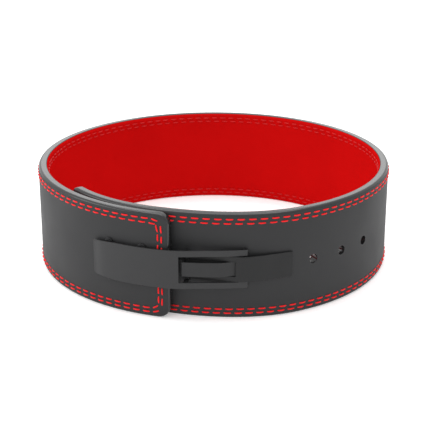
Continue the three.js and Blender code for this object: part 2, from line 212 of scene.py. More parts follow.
def ease(value):
    """Smooth step: 0 below 0, 1 above 1, and v * v * (3 - 2 v) between."""
    value = np.clip(value, 0, 1)
    return value * value * (3 - 2 * value)


def plan(angle, radius):
    """Plan points at an angle and a radius: the ring's centre plus radius * (sin, -cos)."""
    turn = np.radians(angle)
    return RING_CENTRE + np.stack([radius * np.sin(turn), -radius * np.cos(turn)], -1)


def outward(angle):
    """Plan direction away from the ring's centre at an angle."""
    return plan(angle, 1) - plan(angle, 0)


def quarter(step):
    """Angles of a quarter circle in radians, a step in degrees apart."""
    return np.radians(np.arange(0, 91, step))


def strap_wall(sizes):
    """Thickness of the whole strap: leather, glue gap and lining."""
    return sizes.leather + LAYER_GAP + sizes.lining


def strap_radius(sizes, angle):
    """Radius of the strap's outer face: the ring's, less the tongue's tuck under the lever end
    and the swing of its tip, plus the flare."""
    tuck = (strap_wall(sizes) + TUCK_GAP) * ease((TUCK_FROM - angle) / (TUCK_FROM - TUCK_TO))
    swing = TIP_SWING * np.clip((TUCK_TO - angle) / (TUCK_TO - TIP_ANGLE), 0, 1) ** 2
    flare = FLARE * ease((angle - FLARE_FROM) / (END_ANGLE - FLARE_FROM))
    return sizes.ring - tuck - swing + flare


def strap_track(sizes):
    """Angles along the spiral, and the length of the outer face up to each: a running sum."""
    angles = np.linspace(TIP_ANGLE, END_ANGLE, TRACK_POINTS)
    steps = np.diff(plan(angles, strap_radius(sizes, angles)), axis=0)
    return angles, np.concatenate([[0], np.cumsum(np.hypot(*steps.T))])


def strap_length(sizes):
    """Length of the strap's outer face."""
    return strap_track(sizes)[1][-1]


def strap_out(sizes, angle):
    """Outward normal of the strap's face: its direction along the spiral, turned a quarter."""
    step = 0.05  # degrees to both sides
    along = plan(angle + step, strap_radius(sizes, angle + step)) - plan(
        angle - step, strap_radius(sizes, angle - step))
    along = along / np.linalg.norm(along, axis=-1, keepdims=True)
    return np.stack([along[..., 1], -along[..., 0]], -1)


def on_strap(sizes, along, up, depth):
    """Points of the strap: a length along its outer face from the tongue's tip, a height, and a
    depth in from that face along its normal."""
    angles, lengths = strap_track(sizes)
    along, up, depth = np.broadcast_arrays(along, up, depth)
    angle = np.interp(along, lengths, angles)
    flat = plan(angle, strap_radius(sizes, angle)) - strap_out(sizes, angle) * depth[..., None]
    return np.concatenate([flat, up[..., None]], -1)


def from_edge(end, side, corner):
    """Distance in from an outline with round corners, from the distances to its end and side:
    the smaller of them, or in the corner its radius less the distance to its centre."""
    inside = corner - np.hypot(corner - end, corner - side)
    return np.where((end < corner) & (side < corner), inside, np.minimum(end, side))


def rounded(distance, radius):
    """How far a face drops at a distance from its edge: a quarter circle of that radius."""
    gap = np.clip(radius - distance, 0, radius)
    return radius - np.sqrt(radius * radius - gap * gap)


def strap_layer(sizes, outer, inner):
    """One layer of the strap between two depths: a grid of stations by profile points, and each
    point's distance from the strap's outline. A station is a closed profile up the outer face,
    over the top edge, down the inner face and under. Its half height follows the round corners,
    and the faces of the whole wall drop at the outline by quarter circles."""
    wall = strap_wall(sizes)
    fall = sizes.edge * (1 - np.sin(quarter(15)))
    depths = np.unique(np.clip(np.concatenate([fall, wall - fall]), outer, inner).round(7))
    insets = rounded(np.minimum(depths, wall - depths), sizes.edge)
    inset = insets.min()
    lower = insets - inset

    total = strap_length(sizes)
    near = END_STATIONS + inset
    between = np.linspace(sizes.corner, total - sizes.corner, STRAP_STATIONS)
    along = np.concatenate([near, between, (total - near)[::-1]])[:, None]
    end = np.minimum(along, total - along)
    corner = np.where(along < total / 2, sizes.tip_corner, sizes.corner)
    gap = np.clip(corner - end, 0, corner - inset)
    half = sizes.width / 2 - corner + np.sqrt((corner - inset) ** 2 - gap**2)

    share = np.linspace(-1, 1, FACE_POINTS)
    up = np.concatenate([
        (half - lower[0]) * share, half - lower[1:-1],
        (half - lower[-1]) * -share, lower[-2:0:-1] - half,
    ], axis=1)
    over = depths[1:-1] < wall / 2
    is_outer = np.concatenate(
        [np.ones(FACE_POINTS, bool), over, np.zeros(FACE_POINTS, bool), over[::-1]])
    edge = from_edge(end, sizes.width / 2 - np.abs(up), corner)
    drop = rounded(edge, sizes.edge)
    thin = 0.05 * MM  # left between both faces of a layer, at least
    depth = np.where(is_outer, np.maximum(outer, drop),
                     np.maximum(outer + thin, np.minimum(inner, wall - drop)))
    return on_strap(sizes, along, up + sizes.width / 2, depth), edge, end


def hole_places(sizes):
    """Lengths along the strap of the punched holes, a pitch apart to both sides of the hook's."""
    angles, lengths = strap_track(sizes)
    hook = np.interp(HOOK_HOLE_ANGLE, angles, lengths)
    return hook + HOLE_PITCH * np.arange(-HOLES_TO_TIP, HOLES_PAST_HOOK + 1)


def tube_faces(rings, sides, first=0, wrap=False):
    """Quads between rings of equally many points, and end caps unless the rings wrap round."""
    count = rings if wrap else rings - 1
    ring, side = np.meshgrid(np.arange(count), np.arange(sides), indexing="ij")
    after, beside = (ring + 1) % rings, (side + 1) % sides
    quads = np.stack([ring * sides + side, ring * sides + beside,
                      after * sides + beside, after * sides + side], -1)
    faces = (quads.reshape(-1, 4) + first).tolist()
    if not wrap:
        faces.append((np.arange(sides)[::-1] + first).tolist())
        faces.append((np.arange(sides) + (rings - 1) * sides + first).tolist())
    return faces


def turned(origin, axis, profile, sides, wrap=False, radii=None):
    """A turned shape: profile rows of (distance along the axis, radius) carried round the axis,
    point = origin + axis * a + radius * (cos, sin). radii may give a radius for each side."""
    axis = np.asarray(axis, float) / np.linalg.norm(axis)
    first = np.cross(axis, (0, 0, 1) if abs(axis[2]) < 0.9 else (1, 0, 0))
    first = first / np.linalg.norm(first)
    second = np.cross(axis, first)
    profile = np.asarray(profile, float)
    turn = np.linspace(0, 2 * np.pi, sides, endpoint=False)
    radius = profile[:, 1:2] * np.ones(sides) if radii is None else radii
    around = np.cos(turn)[:, None] * first + np.sin(turn)[:, None] * second
    points = origin + profile[:, 0, None, None] * axis + radius[..., None] * around
    return points.reshape(-1, 3), tube_faces(len(profile), sides, wrap=wrap)


def eye(centre, low, high, outer=EYE_RADIUS, inner=BORE_RADIUS, sides=48):
    """An upright tube: a square profile carried round the pin's line."""
    profile = [(low, outer), (high, outer), (high, inner), (low, inner)]
    return turned(np.append(centre, 0), (0, 0, 1), profile, sides, wrap=True)


def bent_sheet(line, thickness, heights, kept):
    """Sheet metal bent along a plan line. Point (i, j) of each face is line point i, moved half
    the thickness to its side along the mitre of the bend, at height (i, j). Cells that aren't
    kept stay open, and a wall closes each border between a kept and an open cell."""
    run = np.diff(line, axis=0)
    run = run / np.linalg.norm(run, axis=1, keepdims=True)
    side = np.stack([run[:, 1], -run[:, 0]], -1)
    before, after = np.vstack([side[:1], side]), np.vstack([side, side[-1:]])
    mitre = before + after
    mitre = mitre / np.linalg.norm(mitre, axis=1, keepdims=True)
    reach = np.broadcast_to(thickness, len(line)) / 2 / np.sum(mitre * before, axis=1)
    rows, cols = heights.shape
    offset = (mitre * reach[:, None])[:, None, :]
    faces_xy = [
        np.broadcast_to(line[:, None, :] + way * offset, (rows, cols, 2)) for way in (1, -1)]
    points = np.concatenate(
        [np.concatenate([xy, heights[..., None]], -1).reshape(-1, 3) for xy in faces_xy])

    at = np.arange(rows * cols).reshape(rows, cols)
    back = at + rows * cols
    front = np.stack([at[:-1, :-1], at[1:, :-1], at[1:, 1:], at[:-1, 1:]], -1)[kept]
    quads = [front, (front + rows * cols)[:, ::-1]]
    padded = np.pad(kept, 1)
    for gained, lost in ((1, 0), (0, 1)):
        down = (padded[1:-1, 1:] == gained) & (padded[1:-1, :-1] == lost)  # borders along the line
        wall = np.stack([at[:-1], at[1:], back[1:], back[:-1]], -1)[down]
        quads.append(wall[:, ::-1] if gained else wall)
        across = (padded[1:, 1:-1] == gained) & (padded[:-1, 1:-1] == lost)
        wall = np.stack([at[:, :-1], at[:, 1:], back[:, 1:], back[:, :-1]], -1)[across]
        quads.append(wall if gained else wall[:, ::-1])
    quads = np.concatenate(quads)
    used, fresh = np.unique(quads, return_inverse=True)
    return points[used], fresh.reshape(quads.shape).tolist()


def together(*shapes):
    """Several shapes as one: their points in turn, with each one's faces counted on."""
    points, faces, count = [], [], 0
    for shape_points, shape_faces in shapes:
        points.append(shape_points)
        faces += [[corner + count for corner in face] for face in shape_faces]
        count += len(shape_points)
    return np.concatenate(points), faces


def solid_box(centre, out, size):
    """A block: its eight corners at half its size out along a plan direction, across and up."""
    out = np.append(out, 0) / np.linalg.norm(out)
    across = np.cross((0, 0, 1), out)
    signs = np.array([(x, y, z) for x in (-1, 1) for y in (-1, 1) for z in (-1, 1)]) / 2
    points = centre + (signs * size) @ np.array([out, across, (0, 0, 1)])
    faces = [[0, 1, 3, 2], [4, 6, 7, 5], [0, 4, 5, 1], [2, 3, 7, 6], [0, 2, 6, 4], [1, 5, 7, 3]]
    return points, faces


# ---------------------------------------------------------------- pieces


def add_piece(name, shape, material, body, replaces=(), sharp=SHARP, coat=None):
    """A mesh object of the shape, facing outwards, smooth except at edges sharper than the
    angle, that rides on a body and may stand for CAD nodes. coat may give a second material and
    whether each face has it."""
    points, faces = shape
    mesh = bpy.data.meshes.new(name)
    mesh.from_pydata(np.asarray(points).tolist(), [], faces)
    mesh.materials.append(material)
    if coat:
        mesh.materials.append(coat[0])
        mesh.polygons.foreach_set("material_index", coat[1].astype(np.int32))
    mesh.validate()
    piece = bpy.data.objects.new(name, mesh)
    bpy.context.scene.collection.objects.link(piece)
    mesh.shade_smooth()
    mesh.set_sharp_from_angle(angle=np.radians(sharp))
    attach(piece, body)
    if replaces:
        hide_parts(*replaces)
    return piece


def steel_edges(piece, width):
    """Rounds the cut edges of sheet steel, as tumbling and the coat leave them."""
    bevel = piece.modifiers.new("rounded edges", "BEVEL")
    bevel.width, bevel.segments = width, 3
    bevel.limit_method, bevel.angle_limit = "ANGLE", np.radians(SHARP)
    bevel.harden_normals = True
    bevel.use_clamp_overlap = True


def punch(piece, cutter, wall):
    """Cuts the punched holes out of a piece, with their walls in a material, keeps the result as
    its mesh, and drops the cutter."""
    mesh = bpy.data.meshes.new("punch")
    mesh.from_pydata(cutter[0].tolist(), [], cutter[1])
    mesh.materials.append(wall)
    tool = bpy.data.objects.new("punch", mesh)
    bpy.context.scene.collection.objects.link(tool)
    cut = piece.modifiers.new("punch", "BOOLEAN")
    cut.operation, cut.solver, cut.object = "DIFFERENCE", "EXACT", tool
    cut.material_mode = "TRANSFER"
    graph = bpy.context.evaluated_depsgraph_get()
    done = bpy.data.meshes.new_from_object(piece.evaluated_get(graph))
    piece.modifiers.remove(cut)
    piece.data = done
    bpy.data.objects.remove(tool)
    done.shade_smooth()
    done.set_sharp_from_angle(angle=np.radians(SHARP))
    weighted = piece.modifiers.new("face normals", "WEIGHTED_NORMAL")
    weighted.keep_sharp = True


def hole_punches(sizes, near, far, lip):
    """Punches through a layer, one for each hole: a bar whose radius grows at both faces of the
    layer by a quarter circle, so that it leaves a rounded rim."""
    roll = quarter(18)
    flare = np.stack([near + lip * (1 - np.sin(roll)), sizes.hole + lip * (1 - np.cos(roll))], -1)
    other = np.stack([far - lip * (1 - np.sin(roll)), sizes.hole + lip * (1 - np.cos(roll))], -1)
    profile = np.vstack([[near - lip, flare[-1, 1]], flare[::-1], other, [far + lip, flare[-1, 1]]])
    angles, lengths = strap_track(sizes)
    angle = np.interp(hole_places(sizes), lengths, angles)
    faces = plan(angle, strap_radius(sizes, angle))
    ways = -strap_out(sizes, angle)
    return together(*[
        turned(np.append(face, sizes.width / 2), np.append(way, 0), profile, 40)
        for face, way in zip(faces, ways)
    ])


def painted(spots):
    """The faces of a layer's grid that have all their corners at the marked spots, and both of
    its end caps."""
    beside = np.roll(spots, -1, axis=1)
    cells = spots[:-1] & spots[1:] & beside[:-1] & beside[1:]
    return np.append(cells.ravel(), [True, True])


def corner_bend(corner, inset, end_inset):
    """Length that a row takes round a corner: a quarter circle of the mean of both radii."""
    return (corner - (inset + end_inset) / 2) * np.pi / 2


def stitch_ends(sizes, corner, inset, end_inset, centres):
    """Where stitches of a row start and end, as distances from the strap's end and side. centres
    run from the middle of an end, up it, round the corner's quarter ellipse and along the edge."""
    straight = sizes.width / 2 - corner
    bend = corner_bend(corner, inset, end_inset)
    run = centres[:, None] + sizes.stitch * np.array([-0.5, 0.5])
    turn = np.clip((run - straight) / bend, 0, 1) * np.pi / 2
    end = corner - (corner - end_inset) * np.cos(turn) + np.maximum(run - straight - bend, 0)
    side = corner - (corner - inset) * np.sin(turn) + np.maximum(straight - run, 0)
    return end, side


def edge_row(total, tongue, tongue_pitch, lever, lever_pitch):
    """Lengths along the strap of the stitches along an edge: at the pitches of the tongue's and
    the lever end's stretches, and evenly between the two."""
    first = np.arange(tongue % tongue_pitch + tongue_pitch, TONGUE_STRETCH, tongue_pitch)
    last = total - np.arange(lever, LEVER_STRETCH, lever_pitch)[::-1]
    count = round((last[0] - first[-1]) / MIDDLE_PITCH)
    return np.concatenate([first, np.linspace(first[-1], last[0], count + 1)[1:-1], last])


def stitch_rows(sizes):
    """Start and end of every stitch, as (length along the strap, height) pairs, and whether it is
    one that the base plate covers. Rows go along both edges and across both ends."""
    total, width = strap_length(sizes), sizes.width
    along, up, covered = [], [], []

    def sew(centres, insets, at_tip, at_top, under_plate):
        end, side = stitch_ends(sizes, SEAM_CORNER, *insets, centres)
        along.append(end if at_tip else total - end)
        up.append(width - side if at_top else side)
        covered.append(under_plate)

    for (*insets, edges), heights, cover in zip(ROWS, END_HEIGHTS, COVERED_HEIGHTS):
        past = width / 2 - 2 * SEAM_CORNER + corner_bend(SEAM_CORNER, *insets)
        for at_top, row in zip((True, False), edges):
            centres = edge_row(total, *[size * MM for size in row])
            for at_tip in (True, False):
                mine = centres if at_tip else total - centres
                mine = mine[mine < total / 2]
                sew(mine + past, insets, at_tip, at_top, np.zeros(len(mine), bool))
        rise = np.array(heights) * MM
        for at_tip in (True, False):
            for at_top in (True, False):
                mine = rise[rise >= 0] if at_top else -rise[rise < 0]
                sew(mine, insets, at_tip, at_top, (mine < cover) & (not at_tip))
    return np.concatenate(along), np.concatenate(up), np.concatenate(covered)


def stitch_skins(sizes, along, up, depth, way):
    """Stitches as short threads, a little flat, made of rings. The thread's line runs straight
    over the surface and sinks at both ends by the cube of the distance from its middle, and its
    radius falls off there by the fourth power."""
    rise_share, sink_share, taper, flatness = 0.26, 0.5, 0.85, 0.85
    share = THREAD_RINGS
    mix = (share + 1) / 2
    run = along[:, :1] + (along[:, 1:] - along[:, :1]) * mix
    rise = up[:, :1] + (up[:, 1:] - up[:, :1]) * mix
    lift = sizes.thread * (rise_share - sink_share * np.abs(share) ** 3)
    centre = on_strap(sizes, run, rise, depth - way * lift)
    body = sizes.thread / 2 * np.sqrt(1 - taper * share**4)
    tangent = centre[:, -1] - centre[:, 0]
    tangent = tangent / np.linalg.norm(tangent, axis=-1, keepdims=True)
    middle = run[:, 2:4].mean(1), rise[:, 2:4].mean(1)
    normal = on_strap(sizes, *middle, depth - way * MM) - on_strap(sizes, *middle, depth)
    normal = normal / np.linalg.norm(normal, axis=-1, keepdims=True)
    across = np.cross(tangent, normal)
    turn = np.linspace(0, 2 * np.pi, THREAD_SIDES, endpoint=False)
    ring = (np.cos(turn)[:, None] * normal[:, None, None] * flatness
            + np.sin(turn)[:, None] * across[:, None, None])
    points = centre[:, :, None] + body[:, None, None] * ring
    one, count = tube_faces(len(share), THREAD_SIDES), len(share) * THREAD_SIDES
    faces = [[corner + count * n for corner in face] for n in range(len(run)) for face in one]
    return points.reshape(-1, 3), faces


def thread_map(piece, sizes):
    """UV for the twist of the thread: U along each stitch and V round it, both in metres."""
    mesh = piece.data
    corner = np.zeros(len(mesh.loops), np.int32)
    mesh.loops.foreach_get("vertex_index", corner)
    ring, side = corner // THREAD_SIDES % len(THREAD_RINGS), corner % THREAD_SIDES
    along = THREAD_RINGS[ring] * sizes.stitch / 2
    around = side / THREAD_SIDES * np.pi * sizes.thread
    layer = mesh.uv_layers.new(name="thread")
    layer.data.foreach_set("uv", np.stack([along, around], -1).ravel().astype(np.float32))


def levels(sizes):
    """Radii of the faces stacked on the lever end: base plate, screw heads and lever."""
    end = sizes.ring + FLARE
    base = end + FIT + BASE_SHEET
    head = base + FIT + HEAD_HEIGHT
    return end, base, head, head + FIT + LEVER_SHEET


def pivot(sizes, angle):
    """Radius and plan point of a pivot, whose eye stands just clear of the strap's face."""
    radius = strap_radius(sizes, angle) + FIT + EYE_RADIUS
    return radius, plan(angle, radius)


def lever_shape(sizes, buckle):
    """The lever: sheet along an arc, whose tip bends in and whose arms come down to their eyes,
    with the window's cells left open, and lugs under both arms for the hook plate's rivets."""
    face = levels(sizes)[3]
    pin_radius, pin = pivot(sizes, LEVER_PIN_ANGLE)
    hook_radius, hook = pivot(sizes, HOOK_PIN_ANGLE)
    end_sheet = EYE_RADIUS - BORE_RADIUS
    fall = face - pin_radius - EYE_RADIUS
    tip_x = plan(LEVER_TIP, face)[0]
    corner, taper = 2 * MM, 24 * MM
    near = np.degrees(TIP_STATIONS / np.cos(np.radians(LEVER_TIP)) / face)
    plain_from = -27.5  # just past the last of these stations
    angle = np.concatenate([LEVER_TIP + near, np.linspace(plain_from, WINDOW_FROM, 24),
                            np.linspace(WINDOW_FROM, LEVER_PIN_ANGLE, 30)[1:]])
    bend = ease((angle - ARMS_BEND_FROM) / (ARMS_BEND_TO - ARMS_BEND_FROM))
    thin = ease((angle - LEVER_PIN_ANGLE + ARMS_THIN_OVER) / ARMS_THIN_OVER)
    thickness = LEVER_SHEET + (end_sheet - LEVER_SHEET) * thin
    tip_fall = TIP_BEND * ease((LEVER_TIP + TIP_BEND_OVER - angle) / TIP_BEND_OVER)
    radius = face - thickness / 2 - tip_fall - fall * bend
    line = plan(angle, radius)
    run = np.maximum(plan(angle, face)[:, 0] - tip_x, 0)
    half = buckle.lever - (buckle.lever - buckle.tip) * (1 - ease(run / taper))
    gap = np.clip(corner - run, 0, corner)
    half = half - corner + np.sqrt(corner**2 - gap**2)
    inner = np.minimum(buckle.window, half * 0.8)  # stays inside the rounded tip
    heights = np.stack([-half, -inner, inner, half], -1) + sizes.width / 2
    kept = np.ones((len(angle) - 1, 3), bool)
    kept[(angle[:-1] + angle[1:]) / 2 > WINDOW_FROM, 1] = False
    parts = [bent_sheet(line, thickness, heights, kept)]
    middle = sizes.width / 2
    web_across, web_past = EYE_RADIUS * 1.9, 0.8  # width, and degrees to where it meets the sheet
    web_low = hook_radius + (EYE_RADIUS + BORE_RADIUS) / 2
    web_high = np.interp(HOOK_PIN_ANGLE + web_past, angle, radius)
    for way in (1, -1):
        low, high = sorted(middle + way * rise for rise in (buckle.window, buckle.lever))
        parts.append(eye(pin, low, high))
        low, high = sorted(
            middle + way * rise for rise in (buckle.window, buckle.window + LUG_HEIGHT))
        parts.append(eye(hook, low, high))
        parts.append(solid_box(
            np.append(plan(HOOK_PIN_ANGLE, (web_low + web_high) / 2), (low + high) / 2),
            outward(HOOK_PIN_ANGLE), (web_high - web_low, web_across, high - low)))
    return together(*parts)


def hook_shape(sizes, buckle):
    """The hook plate: two rails from their eyes over the lever pin to a plate on the strap's
    face, and the leaning prong, a bar with a rounded end."""
    pin_radius, pin = pivot(sizes, LEVER_PIN_ANGLE)
    _, hook = pivot(sizes, HOOK_PIN_ANGLE)
    lies = sizes.ring + FIT + HOOK_SHEET / 2
    crest = pin_radius + EYE_RADIUS + FIT + HOOK_SHEET / 2
    angle = np.concatenate([np.linspace(HOOK_CREST_FROM, HOOK_CREST_TO, 8)[:-1],
                            np.linspace(HOOK_CREST_TO, HOOK_LIES_FROM, 14)[:-1],
                            np.linspace(HOOK_LIES_FROM, HOOK_END, 8)])
    fall = ease((angle - HOOK_CREST_TO) / (HOOK_LIES_FROM - HOOK_CREST_TO))
    plate = plan(angle, crest - (crest - lies) * fall)
    toward = plate[0] - hook
    start = hook + toward / np.linalg.norm(toward) * (EYE_RADIUS + BORE_RADIUS) / 2
    edge = plan(HOOK_WINDOW_TO, crest)
    rail = start + (plate[0] - start) * np.linspace(0, 1, 6)[:-1, None]
    cut = start + (plate[0] - start) * (edge[0] - start[0]) / (plate[0, 0] - start[0])
    line = np.vstack([rail, cut, plate])
    middle = sizes.width / 2
    outer, inner = buckle.window - HOOK_PLAY, buckle.tongue + FIT
    heights = middle + np.broadcast_to([-outer, -inner, inner, outer], (len(line), 4))
    kept = np.ones((len(line) - 1, 3), bool)
    kept[: len(rail), 1] = False
    parts = [bent_sheet(line, HOOK_SHEET, heights, kept)]
    for way in (1, -1):
        low, high = sorted(middle + way * rise for rise in (inner, outer))
        parts.append(eye(hook, low, high))
    link = (hook - pin) / np.linalg.norm(hook - pin)
    lift = np.array([-link[1], link[0]])
    if lift @ outward(HOOK_HOLE_ANGLE) < 0:
        lift = -lift
    centre = plan(HOOK_HOLE_ANGLE, strap_radius(sizes, HOOK_HOLE_ANGLE) - PRONG_DEPTH)
    prong = [(up * MM - PRONG_DEPTH, radius * MM) for up, radius in PRONG_END]
    prong.append((PRONG_DEPTH + FIT + HOOK_SHEET / 2, prong[-1][1]))
    parts.append(turned(np.append(centre, middle), np.append(lift, 0), prong, 32))
    return together(*parts)


def base_shape(sizes, buckle):
    """The base plate: sheet on the lever end with four round ears, and a tongue that dips past
    the lever end's edge, rises in the lever's window and ends in an eye round the lever pin."""
    end, face, _, _ = levels(sizes)
    level = face - BASE_SHEET / 2
    pin_radius, pin = pivot(sizes, LEVER_PIN_ANGLE)
    half_sheet = np.degrees(BASE_SHEET / 2 / level)
    edge = END_ANGLE - 360 + np.degrees(2 * FIT / level) + half_sheet
    rise = TONGUE_RISE + half_sheet
    past = np.linspace(rise, LEVER_PIN_ANGLE - np.degrees(BORE_RADIUS / pin_radius), 20)
    dip = ease((past - DIP_FROM) / DIP_OVER)
    line = np.vstack([
        plan(np.linspace(BASE_FROM, BASE_TO, PLATE_POINTS), level),
        plan(np.linspace(BASE_TO, edge, 4)[1:], level),
        plan(np.linspace(edge, rise, 4), level - JOGGLE_DROP),
        plan(past, level + (pin_radius - level) * dip),
    ])
    middle = sizes.width / 2
    heights = middle + np.broadcast_to(
        [-buckle.base, -buckle.tongue, buckle.tongue, buckle.base], (len(line), 4))
    kept = np.ones((len(line) - 1, 3), bool)
    kept[PLATE_POINTS - 1 :, ::2] = False  # past the plate only the tongue goes on
    parts = [bent_sheet(line, BASE_SHEET, heights, kept),
             eye(pin, middle - buckle.tongue, middle + buckle.tongue)]
    for angle in SCREW_ANGLES:
        for way in (1, -1):
            ear = [(0, buckle.ear), (BASE_SHEET, buckle.ear), (BASE_SHEET, EAR_BORE),
                   (0, EAR_BORE)]
            origin = np.append(plan(angle, end + FIT), middle + way * SCREW_RISE)
            parts.append(turned(origin, np.append(outward(angle), 0), ear, 40, True))
    return together(*parts)


def screw_shape(sizes, buckle, angle, way):
    """A button-head screw: shank, a low domed head and a six-sided socket in it. The profile
    goes from the shank's end up to the head and down into the socket, whose radius at a turn
    from the middle of a flat is the flat's distance / cos(turn)."""
    end, face, head, _ = levels(sizes)
    seat = face - end + FIT
    top = head - end
    radius = buckle.head
    shank, depth, chamfer = 2 * MM, 5.8 * MM, 0.3 * MM
    socket, rim, rim_depth, socket_depth = 1.25 * MM, 0.15 * MM, 0.1 * MM, 0.6 * MM
    dome = ((0.3, 1), (0.6, 0.93), (0.9, 0.75), (1, 0.5))  # shares of the head's height and radius
    sides = 48
    turn = np.linspace(0, 2 * np.pi, sides, endpoint=False)
    six = socket / np.cos((turn + np.pi / 6) % (np.pi / 3) - np.pi / 6)
    profile = np.array([
        (-depth, shank - chamfer), (chamfer - depth, shank), (seat, shank), (seat, radius),
        *[(seat + up * HEAD_HEIGHT, radius * out) for up, out in dome],
        (top, 0), (top - rim_depth, 0), (top - socket_depth, 0),
    ])
    radii = np.repeat(profile[:, 1:2], sides, axis=1)
    radii[-3:] = six + rim, six, six
    origin = np.append(plan(angle, end), sizes.width / 2 + way * SCREW_RISE)
    return turned(origin, np.append(outward(angle), 0), profile, sides, radii=radii)


def pin_shape(centre, low, high):
    """A pin: a bar with both ends turned down by a small chamfer."""
    cut = 0.35 * MM
    profile = [(low, PIN_RADIUS - cut), (low + cut, PIN_RADIUS),
               (high - cut, PIN_RADIUS), (high, PIN_RADIUS - cut)]
    return turned(np.append(centre, 0), (0, 0, 1), profile, 40)


# ---------------------------------------------------------------- materials


def add_node(tree, kind, inputs=(), **settings):
    """Adds a node, sets its properties, and sets or links its inputs by name or number."""
    made = tree.nodes.new(kind)
    for key, value in settings.items():
        setattr(made, key, value)
    for key, value in dict(inputs).items():
        if isinstance(value, bpy.types.NodeSocket):
            tree.links.new(value, made.inputs[key])
        else:
            made.inputs[key].default_value = value
    return made


def new_material(name, colour_value, roughness, **sockets):
    """A material with a Principled shader, whose even values are set on its own sockets."""
    made = bpy.data.materials.new(name)
    made.use_nodes = True
    shader = made.node_tree.nodes["Principled BSDF"]
    shader.inputs["Base Color"].default_value = (*colour_value, 1)
    shader.inputs["Roughness"].default_value = roughness
    for key, value in sockets.items():
        shader.inputs[key.replace("_", " ")].default_value = value
    made.diffuse_color = (*colour_value, 1)
    return made, made.node_tree, shader


def shaded(colour_value, factor):
    """A colour scaled by a factor, as red, green, blue and alpha."""
    return (*[min(1, part * factor) for part in colour_value], 1)


def object_place(tree):
    """The place on a piece, in its own metres."""
    return add_node(tree, "ShaderNodeTexCoord").outputs["Object"]


def noise(tree, place, grain, detail=2.0, roughness=0.5):
    """A noise whose grain is about so many metres across."""
    return add_node(tree, "ShaderNodeTexNoise", {
        "Vector": place, "Scale": 1 / grain, "Detail": detail, "Roughness": roughness,
    }).outputs["Fac"]


def relief(tree, shader, height, strength, depth):
    """Gives a shader's surface a fine relief by a height."""
    bump = add_node(tree, "ShaderNodeBump",
                    {"Height": height, "Strength": strength, "Distance": depth})
    tree.links.new(bump.outputs["Normal"], shader.inputs["Normal"])


def vary_roughness(tree, shader, spread, low, high):
    """Spreads a shader's roughness between two values, over the middle range of a noise."""
    rough = add_node(tree, "ShaderNodeMapRange", {
        "Value": spread, "From Min": 0.3, "From Max": 0.7, "To Min": low, "To Max": high})
    tree.links.new(rough.outputs["Result"], shader.inputs["Roughness"])


def vary_tone(tree, shader, spread, shade, change):
    """Makes a shader's colour darker and lighter by a share, along a noise."""
    first, second, mixed = 6, 7, 2  # a Mix node's sockets for colours
    tone = add_node(tree, "ShaderNodeMix", {
        "Factor": spread, first: shaded(shade, 1 - change), second: shaded(shade, 1 + change),
    }, data_type="RGBA")
    tree.links.new(tone.outputs[mixed], shader.inputs["Base Color"])


def finished_leather(colours):
    """Finished cowhide, pressed with a fine grain: a satin black whose pebbles, about a
    millimetre across, break up the sheen."""
    made, tree, shader = new_material("finished_cowhide_pressed_grain", colours.leather, 0.5,
                                      Specular_IOR_Level=0.27)
    place = object_place(tree)
    pebble_across = 1.1 * MM
    pebble = add_node(tree, "ShaderNodeTexVoronoi", {"Vector": place, "Scale": 1 / pebble_across},
                      feature="SMOOTH_F1")
    crease = noise(tree, place, grain=0.5 * MM, detail=3.0)
    height = add_node(tree, "ShaderNodeMath",
                      {0: pebble.outputs["Distance"], 1: crease}, operation="ADD")
    relief(tree, shader, height.outputs[0], strength=0.22, depth=0.1 * MM)
    cloud = noise(tree, place, grain=38 * MM, detail=4.0)
    vary_roughness(tree, shader, cloud, low=0.55, high=0.63)
    vary_tone(tree, shader, cloud, colours.leather, change=0.1)
    return made


def edge_paint(colours):
    """Edge paint, rolled on in coats over the cut leather: a smooth black, glossier than the
    face, with the slight waves of the roller."""
    made, tree, shader = new_material("rolled_edge_paint", colours.paint, 0.2)
    wave = noise(tree, object_place(tree), grain=9 * MM)
    relief(tree, shader, wave, strength=0.15, depth=0.3 * MM)
    return made


def suede(colours):
    """Split suede, buffed to a short nap: quite dull, with faint patches where the nap lies the
    other way."""
    made, tree, shader = new_material(
        "split_suede_buffed_nap", colours.suede, 1.0, Specular_IOR_Level=0.0)
    place = object_place(tree)
    nap = noise(tree, place, grain=0.7 * MM, detail=4.0, roughness=0.7)
    relief(tree, shader, nap, strength=0.35, depth=0.15 * MM)
    brushed = noise(tree, place, grain=45 * MM, detail=5.0)
    vary_tone(tree, shader, brushed, colours.suede, change=0.08)
    return made


def bonded_thread(name, shade):
    """Bonded polyester thread: a tight twist of three plies, with a slight gloss from the bond."""
    made, tree, shader = new_material(name, shade, 0.5, Specular_IOR_Level=0.2)
    twist = 0.7  # radians off the thread's line
    ply_apart = 1.7813 * MM  # a wave repeats every pi / 10 / its scale
    place = add_node(tree, "ShaderNodeUVMap", uv_map="thread").outputs["UV"]
    slant = add_node(tree, "ShaderNodeMapping", {"Vector": place, "Rotation": (0, 0, twist)})
    ply = add_node(tree, "ShaderNodeTexWave",
                   {"Vector": slant.outputs["Vector"], "Scale": np.pi / 10 / ply_apart})
    relief(tree, shader, ply.outputs["Fac"], strength=0.5, depth=0.15 * MM)
    return made


def powder_coat(name, coat):
    """Steel sheet with a fused powder coat: satin, with the fine ripple of its melt."""
    made, tree, shader = new_material(name, coat, 0.42, Specular_IOR_Level=0.28)
    place = object_place(tree)
    ripple = noise(tree, place, grain=1.4 * MM)
    relief(tree, shader, ripple, strength=0.12, depth=0.1 * MM)
    spread = noise(tree, place, grain=12 * MM, detail=3.0)
    vary_roughness(tree, shader, spread, low=0.38, high=0.46)
    return made


def black_oxide(colours):
    """Turned steel with a black oxide: dark metal, a little uneven in its sheen."""
    made, tree, shader = new_material("turned_steel_black_oxide", colours.screws, 0.35,
                                      Metallic=0.8)
    marks = noise(tree, object_place(tree), grain=0.4 * MM)
    vary_roughness(tree, shader, marks, low=0.3, high=0.42)
    return made


